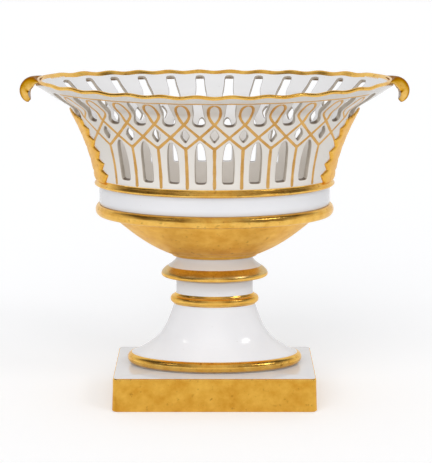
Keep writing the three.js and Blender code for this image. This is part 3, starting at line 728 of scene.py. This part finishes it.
# The wall's outer line from the moulding over the throat to the lip, as (half length, height), and its run
throat = (THROAT_RADIUS, throat_z)
net_pulls = (LATTICE_RADIUS + 1.9, lattice_z + 17), (THROAT_RADIUS - 9, throat_z - 17)
flare_pulls = (THROAT_RADIUS + 2.6, throat_z + 4.4), (THROAT_RADIUS + 9.2, throat_z + 4.8)
net_line = bend((LATTICE_RADIUS, lattice_z), *net_pulls, throat, LATTICE_STEPS)
flare_line = bend(throat, *flare_pulls, (RIM_REACH - 0.5, rim_z - FLANGE + 0.2), FLARE_STEPS)
wall_line = np.vstack([net_line, flare_line[1:]])
wall_run = np.gradient(wall_line, axis=0)
wall_run /= np.hypot(wall_run[:, 0], wall_run[:, 1])[:, None]
wall_q = np.r_[0, np.cumsum(np.hypot(*np.diff(wall_line, axis=0).T))]
rim_q = wall_q[-1]
thinning = np.r_[np.linspace(0, 0.5, LATTICE_STEPS + 1), np.linspace(0.5, 1, FLARE_STEPS + 1)[1:]]
through = (wall_run[:, ::-1].T * (WALL + (FLANGE - WALL) * thinning)).T

# Bays are equal lengths of wall: the bay reached at each angle of a quarter of the oval
quarter_turn = np.linspace(0, np.pi / 2, 721)
quarter_speed = np.hypot(np.cos(quarter_turn[1:]), BASKET_RATIO * np.sin(quarter_turn[1:]))
quarter_run = np.r_[0, np.cumsum(quarter_speed * np.diff(quarter_turn))]
bay_table = quarter_run / quarter_run[-1] * BAYS


def height_at(q):
    """Height of a place q mm up the wall's outer line"""
    return np.interp(q, wall_q, wall_line[:, 1])


def height_to_q(z):
    """How far up the wall's outer line a height lies"""
    return np.interp(z, wall_line[:, 1], wall_q)


def drawn_in(q):
    """The share by which the net, drawn by hand, keeps nearer to the middle than even bays would"""
    heights, shares = zip(*NET_DRAWN)
    return np.interp(height_at(q), heights, shares)


def bay_angle(u, q):
    """Angle of a place u bays from the middle. The very ends of the wall stay where they are."""
    near_end = (np.abs(u) / BAYS) ** NET_END_POWER
    u = u * (1 - drawn_in(q) * (1 - near_end))
    return np.sign(u) * np.interp(np.abs(u), bay_table, quarter_turn)


def pitch_at(q):
    """Width of one bay"""
    return np.interp(q, wall_q, wall_line[:, 0]) * quarter_run[-1] / BAYS * (1 - drawn_in(q))


def rim_lift(u, q, depth):
    """The flare climbs towards the handles, waves over each bay, and is thicker under the handles' roots"""
    rise = np.clip((height_at(q) - throat_z) / (RIM_RISE - FLANGE), 0, 1)
    endwards = np.abs(np.sin(bay_angle(u, q)))
    climb = RIM_SWEEP * endwards**RIM_SWEEP_POWER
    wave = RIM_WAVE * np.cos(2 * np.pi * (u - 0.5)) * np.clip(6 - np.abs(u), 0, 1)
    root = ROOT_SWELL * np.clip((endwards - 0.94) / 0.06, 0, 1) ** 2 * (1 - depth)
    return rise**2 * (climb + wave) - rise**4 * root


def through_at(q):
    """Inwards and upwards, the way through the wall"""
    return np.interp(q, wall_q, through[:, 0]), np.interp(q, wall_q, through[:, 1])


def wall_point(u, q, depth=0.0, out=0.0, up=0.0):
    """A point of the front half of the wall: u bays from the middle, q mm up its outer line, depth as a
    share of its thickness; out and up are millimetres away from the skin"""
    a = np.interp(q, wall_q, wall_line[:, 0])
    inwards, upwards = through_at(q)
    x, y = oval(a, basket_depth(a), bay_angle(u, q), out - depth * inwards)
    return np.stack([x, y, height_at(q) + depth * upwards + up + rim_lift(u, q, depth)], -1)


def skin_point(u, q, proud):
    """A point standing proud of the wall's outer skin by a height square to it"""
    inwards, upwards = through_at(q)
    length = np.hypot(inwards, upwards)
    return wall_point(u, q, 0.0, proud * inwards / length, -proud * upwards / length)


def both_sides(right):
    """A symmetrical outline from the points of its right side"""
    return right + [(-x, z) for x, z in right[::-1]]


def lower_slot(sill):
    """A tall slot with a pointed head, as [(across, height)]"""
    half, top = 3.75, 190.4
    right = [(half - 1.5, sill), (half - 0.3, sill + 0.4), (half, sill + 1.7), (half + 0.15, sill + 13)]
    return both_sides(right + [(half - 0.45, top - 6.5), (half - 1.5, top - 2.2), (0.9, top)])


KITE = both_sides([(0.3, 190.6), (1.5, 192.2), (2.9, 194.6), (2.7, 195.9), (1.5, 197.9), (0.3, 199.3)])
UPPER_SLOT = both_sides(
    [(2.4, 201.7), (4.1, 203.3), (4.35, 206.0), (3.3, 209.4), (3.2, 213), (3.2, 217.2), (2.4, 218.3)]
)


def opening(outline, u0):
    """An opening's edge and the directions square to it, about its middle, slightly uneven as cut by hand"""
    points = np.array(outline, float)
    points[:, 0] *= 1 + rng.uniform(-0.03, 0.03)
    points += rng.uniform(-0.12, 0.12, points.shape)
    edge = resample(cut_corners(points, 3, True), 0.85, True)
    edge[:, 1] = height_to_q(edge[:, 1])
    return u0, edge, -left_normals(edge, True)


def opening_at(hole, offset):
    """The opening's outline grown by an offset, as [u, q]"""
    u0, edge, away = hole
    grown = edge + away * offset
    return np.stack([u0 + grown[:, 0] / pitch_at(grown[:, 1]), grown[:, 1]], 1)


def wall_openings(sill):
    """Every opening of one half of the wall"""
    holes = [opening(lower_slot(sill), bay) for bay in np.arange(-3.5, 4)]
    holes += [opening(KITE, strap) for strap in range(-4, 5)]
    holes += [opening(UPPER_SLOT, bay) for bay in np.arange(-5.5, 6)]
    return holes


def pierced_sheet(holes):
    """The wall's skin laid flat: points [u, q], triangles, and the point numbers of each opening, the lower
    edge and the upper edge"""
    columns = np.linspace(-BAYS, BAYS, COLUMNS + 1)
    rows = np.linspace(height_to_q(lattice_z + COVE_TOP), rim_q, ROWS)
    half_step = (columns[1] - columns[0]) / 2
    grid = []
    for i, q in enumerate(rows[1:-1]):
        grid += [(u, q) for u in (columns[1:-1] if i % 2 else columns[:-1] + half_step)]
    grid = np.array(grid)
    flat = np.array([FLAT_PITCH, 1.0])
    keep = np.ones(len(grid), bool)
    outlines = [opening_at(hole, EDGE_ROUND) for hole in holes]
    for outline in outlines:
        near = np.flatnonzero(
            (np.abs(grid[:, 0] - outline[:, 0].mean()) < 0.6)
            & (grid[:, 1] > outline[:, 1].min() - 2)
            & (grid[:, 1] < outline[:, 1].max() + 2)
        )
        points, ring = grid[near] * flat, outline * flat
        keep[near] &= ~(inside(points, ring) | (distance_to(points, ring) < 0.65))
    border = [(u, rows[0]) for u in columns] + [(BAYS, q) for q in rows[1:]]
    border += [(u, rows[-1]) for u in columns[::-1][1:]] + [(-BAYS, q) for q in rows[::-1][1:-1]]
    rings = [ring * flat for ring in (np.array(border), *outlines)]
    verts, faces, loops = triangulate(rings, grid[keep] * flat)
    verts = verts / flat
    middles = verts[faces].mean(1)
    drop = np.zeros(len(faces), bool)
    for outline in outlines:
        near = np.flatnonzero(np.abs(middles[:, 0] - outline[:, 0].mean()) < 0.6)
        drop[near] |= inside(middles[near] * flat, outline * flat)
    bottom = loops[0][: COLUMNS + 1]
    top_start = COLUMNS + ROWS - 1
    top = loops[0][top_start : top_start + COLUMNS + 1][::-1]
    return verts, faces[~drop], loops[1:], bottom, top


def wall_base():
    """What the wall has under its net: runs from the cove over moulding, fascia and spigot to the inside"""
    moulding = bead(LATTICE_RADIUS - 0.3, 2.5, MOULDING_FOOT, lattice_z + 0.1)[::-1]
    gilt = [(LATTICE_RADIUS, lattice_z + z, -out) for z, out in COVE]
    gilt += [p for p in moulding if p[2] < -1.6 or p[1] < lattice_z - 1.5]
    fascia = [(MOULDING_FOOT - 0.3, -0.35), (MOULDING_FOOT - 1.4, -0.05), (wall_z + 4, 0), (wall_z + 0.4, 0)]
    spigot = [(wall_z, 0.4), (wall_z, 3.0), (wall_z - 2.4, 3.0), (wall_z - 2.4, 5.0)]
    hollow = [(wall_z + 2, 5.0), (lattice_z - 4, 4.4)]
    runs = [("bright", gilt)]
    for finish, run in (("glaze", fascia), ("biscuit", spigot), ("inside", hollow)):
        runs.append((finish, [(FASCIA_RADIUS, z, inset) for z, inset in run]))
    return runs + [("inside", [(LATTICE_RADIUS, lattice_z, 4.1)])]


def wall_half(sill):
    """The front half of the pierced wall, as points, faces and finishes, with every opening's edge rounded
    as glaze leaves it"""
    holes = wall_openings(sill)
    flat, triangles, loops, bottom, top = pierced_sheet(holes)
    count = len(flat)
    verts = [wall_point(flat[:, 0], flat[:, 1], 0.0), wall_point(flat[:, 0], flat[:, 1], 1.0)]
    faces = [tuple(f) for f in triangles.tolist()] + [tuple(f) for f in (triangles + count).tolist()]
    middle = flat[triangles].mean(1)
    gold_width = RIM_GOLD * (1 - 0.35 * np.abs(np.sin(bay_angle(*middle.T))) ** 6)
    gold = middle[:, 1] > rim_q - gold_width
    finishes = ["worked"] * len(triangles) + np.where(gold, "bright", "inside").tolist()

    def sew(first, rows, last, bands, closed=False):
        """Bands of faces from a line of points over new rows to another line, with each band's finish"""
        lines = [first]
        for row in rows:
            start = sum(len(points) for points in verts)
            verts.append(row)
            lines.append(np.arange(start, start + len(row)))
        lines.append(last)
        if closed:
            lines = [np.r_[line, line[:1]] for line in lines]
        lines = [line.tolist() for line in lines]
        for one, other, finish in zip(lines, lines[1:], bands):
            faces.extend(zip(one[:-1], one[1:], other[1:], other[:-1]))
            finishes.extend([finish] * (len(one) - 1))

    steps = np.radians([30, 60, 90])
    cuts = [(EDGE_ROUND * (1 - math.sin(t)), EDGE_ROUND / WALL * (1 - math.cos(t))) for t in steps]
    cuts += [(0.0, 0.5)] + [(offset, 1 - share) for offset, share in cuts[::-1]]
    bands = ["worked"] + ["edge"] * (len(cuts) - 1) + ["glaze"]
    for hole, loop in zip(holes, loops):
        rows = [wall_point(*opening_at(hole, offset).T, share) for offset, share in cuts]
        sew(loop, rows, loop + count, bands, closed=True)

    angles = bay_angle(*flat[bottom].T)
    base = [(finish, *spot) for finish, run in wall_base() for spot in run]
    rows = [flat_ring(*oval(a, basket_depth(a), angles, -inset), z) for _, a, z, inset in base]
    sew(bottom, rows, bottom + count, ["bright"] + [finish for finish, *_ in base])

    rows = []
    for turn in np.radians([-60, -30, 0, 30, 60]):
        out, up = wall_run[-1] * FLANGE / 2 * math.cos(turn)
        rows.append(wall_point(flat[top, 0], np.full(len(top), rim_q), 0.5 + 0.5 * math.sin(turn), out, up))
    sew(top, rows, top + count, ["bright"] * (len(rows) + 1))
    return np.vstack(verts), faces, finishes


def make_wall():
    """Both halves of the wall, joined at the ends; the openings at the back were cut a little deeper"""
    front, faces, finishes = wall_half(FRONT_SILL)
    back, back_faces, back_finishes = wall_half(BACK_SILL)
    both = faces + [tuple(i + len(front) for i in f[::-1]) for f in back_faces]
    verts = np.vstack([front, back * [1, -1, 1]])
    wall = shape("openwork_wall", verts, both, finishes + back_finishes, sharp=50, weld=0.02)
    return dress(wall, "glazed_porcelain", "basket_wall")


# Gilt tracery drawn on the wall

V_FOOT, CROSSING, LOOP_FOOT, LOOP_TOP = 186.1, 194.0, 203.1, 217.6
STRAP_LINE, NET_LINE, THROAT_LINE = 2.6, 2.3, 1.5
# One side of the loop about an upper slot, as (share of a bay, height)
LOOP = [
    (0, LOOP_FOOT), (0.09, 205.2), (0.175, 208.2), (0.2, 212), (0.17, 215.4), (0.08, 217.4), (0, LOOP_TOP),
]


def ribbon(line, width):
    """A drawn line of gold on the wall, slightly domed and uneven in width, as a row of rings"""
    points = cut_corners(line, 3, False)
    points[:, 1] = height_to_q(points[:, 1])
    flat = resample(points * [FLAT_PITCH, 1], 0.8, False)
    u, q = flat[:, 0] / FLAT_PITCH, flat[:, 1]
    aside = left_normals(np.stack([flat[:, 0] * pitch_at(q) / FLAT_PITCH, q], 1), False)
    marks = range(0, len(q) + 6, 5)
    uneven = 1 + 0.13 * np.interp(range(len(q)), marks, rng.uniform(-1, 1, len(marks)))
    uneven[[0, -1]] *= 0.5
    across = np.array([-0.5, -0.32, 0.0, 0.32, 0.5, 0.0])
    proud = np.array([-0.06, 0.09, 0.13, 0.09, -0.06, -0.12])
    rings = []
    for i in range(len(q)):
        s = across * width * uneven[i]
        rings.append(skin_point(u[i] + aside[i, 0] * s / pitch_at(q[i]), q[i] + aside[i, 1] * s, proud))
    return rings


def blob(u, z, radius):
    """A spot of gold where lines meet, as rings from its foot to its middle"""
    turn = np.linspace(0, 2 * np.pi, 14)[:-1]
    q = height_to_q(z)
    uneven = radius * (1 + 0.1 * rng.uniform(-1, 1, len(turn)))
    rings = []
    for share, proud in ((0.6, -0.12), (1.0, -0.06), (0.85, 0.09), (0.5, 0.17), (0.08, 0.19)):
        reach = uneven * share
        rings.append(skin_point(u + reach * np.cos(turn) / pitch_at(q), q + reach * np.sin(turn), proud))
    return rings


def tracery_lines():
    """Each line of the net on the front half, as ([(u, height)], width): one up each strap, a V and a loop
    about each slot, and one along the throat"""
    lines = [([(k, lattice_z + 2.6), (k, 172), (k, V_FOOT)], STRAP_LINE) for k in range(-4, 5)]
    for k in range(-5, 6):
        for side in (-1, 1):
            loop = [(k + side * share, z) for share, z in LOOP]
            if abs(k - side) <= 5:
                loop = [(k - side, V_FOOT), (k - side * 0.5, CROSSING)] + loop
            lines.append((loop, NET_LINE))
    upper = [(u, 218.6 - 0.35 * math.cos(2 * math.pi * (u - 0.5))) for u in np.arange(-5.2, 5.3, 0.2)]
    return lines + [(upper, THROAT_LINE)]


def make_tracery():
    """The painted net on both halves of the wall, as one piece"""
    runs = [ribbon(line, width) for line, width in tracery_lines()]
    runs += [blob(k, V_FOOT + 0.4, 1.55) for k in range(-4, 5)]
    runs += [blob(k, CROSSING, 1.75) for k in np.arange(-4.5, 5)]
    runs += [blob(k, LOOP_FOOT + 0.3, 1.5) for k in range(-4, 5)]
    verts, faces, total = [], [], 0
    for run in runs:
        for rings in (run, [ring * [1, -1, 1] for ring in run]):
            faces += row_faces(rings, total)
            verts += rings
            total += len(rings) * len(rings[0])
    made = shape("gilt_tracery", np.vstack(verts), faces, ["line"] * len(faces), sharp=60)
    return dress(made, "bright_gilding")


# End leaves

LEAF_PROUD = 1.9
# The right side of a leaf from its foot to its tip, tooth by tooth, as (across, height)
LEAF_EDGE = [
    (24.6, 156.4), (27.6, 159.8), (30.2, 163.4), (25.2, 166.4), (29.6, 171.2), (25.0, 174.4), (29.4, 179.4),
    (25.0, 182.6), (29.8, 187.4), (25.4, 190.4), (29.6, 195.2), (25.4, 197.8), (26.8, 201.4), (21.4, 203.2),
    (16.4, 204.8), (10.6, 206.2), (4.0, 207.2),
]


def leaf_point(y, z, out):
    """A point of the wall's right end, by its place across the end and its height"""
    a = np.interp(z, wall_line[:, 1], wall_line[:, 0])
    angle = np.arccos(np.clip(-y / basket_depth(a), -1, 1))
    x, back = oval(a, basket_depth(a), angle, out)
    return np.stack([x, back, z], -1)


def leaf_relief(flat, away, tips):
    """How far a leaf stands proud of the wall: soft at its edge, with a raised midrib and a sunk vein to
    each tooth"""
    height = LEAF_PROUD * (0.12 + 0.74 * np.sqrt(1 - (1 - np.clip(away / 2.2, 0, 1)) ** 2))
    height += 0.45 * np.exp(-((flat[:, 0] / 1.6) ** 2)) * np.clip(away / 2, 0, 1)
    for tip_y, tip_z in tips:
        for y in (-tip_y, tip_y):
            vein = np.array([(0, tip_z - 9), (y * 0.55, tip_z - 3.2), (y * 0.93, tip_z)])
            sunk = np.exp(-((distance_to(flat, vein, False) / 0.75) ** 2))
            height -= 0.6 * sunk * np.clip(away / 1.5, 0, 1)
    return height


def make_leaf(end, side):
    """A moulded leaf on the wall's end, gilt all over, with toothed edges"""
    half = np.array(LEAF_EDGE)
    outline = np.vstack([half, (half * [-1, 1])[::-1]])
    outline += rng.uniform(-0.25, 0.25, outline.shape)
    edge = resample(outline, 0.7, True)
    ys, zs = np.meshgrid(np.arange(-30, 30.5, 1.0), np.arange(156.5, 207, 1.0))
    grid = np.stack([ys.ravel() + 0.5 * (np.round(zs.ravel()) % 2), zs.ravel()], 1)
    grid = grid[inside(grid, edge) & (distance_to(grid, edge) > 0.5)]
    flat, faces, (rim,) = triangulate([edge], grid)
    faces = faces[inside(flat[faces].mean(1), edge)]
    away = distance_to(flat, edge)
    away[rim] = 0
    top = leaf_point(flat[:, 0], flat[:, 1], leaf_relief(flat, away, half[2:13:2]))
    bottom = leaf_point(flat[:, 0], flat[:, 1], -0.15)
    count = len(flat)
    all_faces = [tuple(f) for f in faces.tolist()] + [tuple(f[::-1]) for f in (faces + count).tolist()]
    all_faces += [(int(a), int(b), int(b) + count, int(a) + count) for a, b in zip(rim, np.roll(rim, -1))]
    verts = np.vstack([top, bottom]) * [side, side, 1]
    made = shape(f"gilt_leaf_{end}", verts, all_faces, ["matt"] * len(all_faces), sharp=60)
    return dress(made, "matt_gilding", f"leaf_{end}")


# Handles

HANDLE_ROOT, HANDLE_TIP = 46.0, 10.0
HANDLE_THICK = 3.8
HANDLE_DROOP = 5.6
HANDLE_DROOP_SPAN = 0.87
HANDLE_OUT, HANDLE_DOWN, HANDLE_UP = 11.7, 15.7, 1.0
HANDLE_BURIED = 1.6


def make_handle(end, side):
    """The rim drawn out into a tongue that rolls over and down: burnished outside, white within the roll"""
    root_z = rim_z - FLANGE / 2
    pulls = (HANDLE_OUT * 0.36, rim_z + HANDLE_UP), (HANDLE_OUT * 1.34, rim_z - HANDLE_DOWN * 0.48)
    curl = bend((0, root_z), *pulls, (HANDLE_OUT * 0.45, root_z - HANDLE_DOWN), 44)
    run = np.gradient(curl, axis=0)
    run /= np.hypot(run[:, 0], run[:, 1])[:, None]
    turn = np.linspace(0, 2 * np.pi, 65)[:-1]
    across = np.sign(np.cos(turn)) * np.abs(np.cos(turn)) ** 0.7
    upper = np.sin(turn) / 2
    rings = []
    for i, (out, z) in enumerate(curl):
        along = i / (len(curl) - 1)
        tip = math.sqrt(max(1 - max(0.0, (along - 0.84) / 0.16) ** 2, 0.002))
        half_width = (HANDLE_ROOT + (HANDLE_TIP - HANDLE_ROOT) * along**1.4) / 2 * (0.1 + 0.9 * tip)
        y = across * half_width
        edge_x = RIM_REACH * np.sqrt(1 - (y / basket_depth(RIM_REACH)) ** 2)
        start_x = edge_x + (RIM_REACH - edge_x) * min(1, along * 2)
        lean = min(1, along * 4)
        tangent = run[i] * lean + np.array([1 - lean, 0])
        tangent /= np.hypot(*tangent)
        thick = (FLANGE + (HANDLE_THICK - FLANGE) * min(1, along * 3)) * (0.15 + 0.85 * tip)
        if i == 0:
            thick *= 0.4
            start_x = start_x - HANDLE_BURIED - 0.1
        droop = HANDLE_DROOP * across**2 * math.sin(math.pi * HANDLE_DROOP_SPAN * along)
        offset = upper * thick - droop
        x = start_x + 0.1 + out - offset * tangent[1]
        height = z + offset * tangent[0] + RIM_SWEEP * np.minimum(1, edge_x / RIM_REACH) ** RIM_SWEEP_POWER
        rings.append(np.stack([x, y, height], 1) * [side, side, 1])
    hidden = (np.sin(turn + np.pi / len(turn)) < 0) & (np.abs(across) < 0.86)
    band = ["glaze" if under else "hard" for under in hidden]
    finishes = band * (len(rings) - 1) + ["hard", "hard"]
    made = shape(f"rolled_handle_{end}", np.vstack(rings), row_faces(rings), finishes, sharp=60)
    return dress(made, "bright_gilding", f"handle_{end}")


# Gaskets and hardware


def make_gasket(name, outer, inner, finish="leather", circular=False):
    """A flat ring between two seats, from (half length, inset) outside to inside, with soft cut edges"""
    bottom, top = low(name), high(name)
    soft = min(0.25, (top - bottom) * 0.35)
    profile = []
    for (a, inset), direction in ((outer, 1), (inner, -1)):
        edge = [(a, bottom, inset + direction * soft), (a, bottom + soft, inset), (a, top - soft, inset)]
        edge.append((a, top, inset + direction * soft))
        profile += edge if direction > 0 else edge[::-1]
    depth = (lambda a: a) if circular else stem_depth
    made = turned(f"{name}_cut", [(finish, profile)], depth, steps=96, sharp=30)
    return dress(made, finish, name)


BOLT_RADIUS = 3.0
BOLT_HEAD = 4.5
THREAD_LENGTH, THREAD_PITCH, THREAD_CUT = 16, 1.0, 0.45


def make_bolt():
    """The tie rod: a low domed head with a turned shoulder, and a cut thread at its foot"""
    foot, top = low("tie_bolt"), high("tie_bolt")
    head = top - BOLT_HEAD
    thread_top = foot + THREAD_LENGTH
    steps = 32
    angle = np.arange(steps) * 2 * np.pi / steps
    rings = []
    for z in np.arange(foot, thread_top, THREAD_PITCH / 5):
        fade = min(1, (thread_top - z) / 2, z - foot + 0.2)
        wave = 0.5 - 0.5 * np.cos(2 * np.pi * ((z - foot) / THREAD_PITCH - angle / (2 * np.pi)))
        chamfer = 0.4 * max(0, 1 - (z - foot) / 0.8)
        rings.append(round_ring(BOLT_RADIUS - THREAD_CUT * wave * fade - chamfer, z, angle))
    shank = [(BOLT_RADIUS, thread_top), (BOLT_RADIUS, head - 0.1)]
    dome = [(7.2, head), (7.5, head + 0.3), (7.5, head + 1), (7.1, head + 1.6), (6.2, head + 2.7)]
    dome += [(4.8, head + 3.6), (3, head + 4.2), (1.2, head + 4.45), (0.3, head + BOLT_HEAD)]
    rings += [round_ring(radius, z, angle) for radius, z in shank + dome]
    made = skin("threaded_tie_rod", rings, ["brass"] * len(rings), sharp=35)
    return dress(made, "brass", "tie_bolt")


NUT_BORE, NUT_CORNER = 3.15, 6.5


def make_nut():
    """A hexagon nut with chamfered corners"""
    bottom, top = low("nut"), high("nut")
    steps = 72
    angle = np.arange(steps) * 2 * np.pi / steps + np.radians(30)
    hexagon = NUT_CORNER * math.cos(math.pi / 6) / np.cos((angle % (math.pi / 3)) - math.pi / 6)
    outside = [(5.5, bottom), (NUT_CORNER, bottom + 0.7), (NUT_CORNER, top - 0.7), (5.5, top)]
    rings = [round_ring(NUT_BORE, bottom, angle)]
    rings += [round_ring(np.minimum(hexagon, radius), z, angle) for radius, z in outside]
    rings.append(round_ring(NUT_BORE, top, angle))
    made = skin("hexagon_nut", rings, ["brass"] * len(rings), closed=True, sharp=25)
    return dress(made, "brass", "nut")


make_plinth()
make_pedestal()
make_knop()
make_pan()
make_wall()
make_tracery()
for end_name, end_side in (("left", -1), ("right", 1)):
    make_leaf(end_name, end_side)
    make_handle(end_name, end_side)
make_gasket("foot_gasket", (FOOT[0], 0.0), (FOOT[0], 6.5))
make_gasket("seat_gasket", (COLLAR_RADIUS, 1.0), (COLLAR_BORE, -1.0))
for level in ("top", "lower"):
    make_gasket(f"{level}_gasket", (12.0, 0.0), (4.5, 0.0), circular=True)
for level in ("top", "lower"):
    make_gasket(f"{level}_washer", (11.0, 0.0), (4.01, 0.0), "brass", circular=True)
make_bolt()
make_nut()
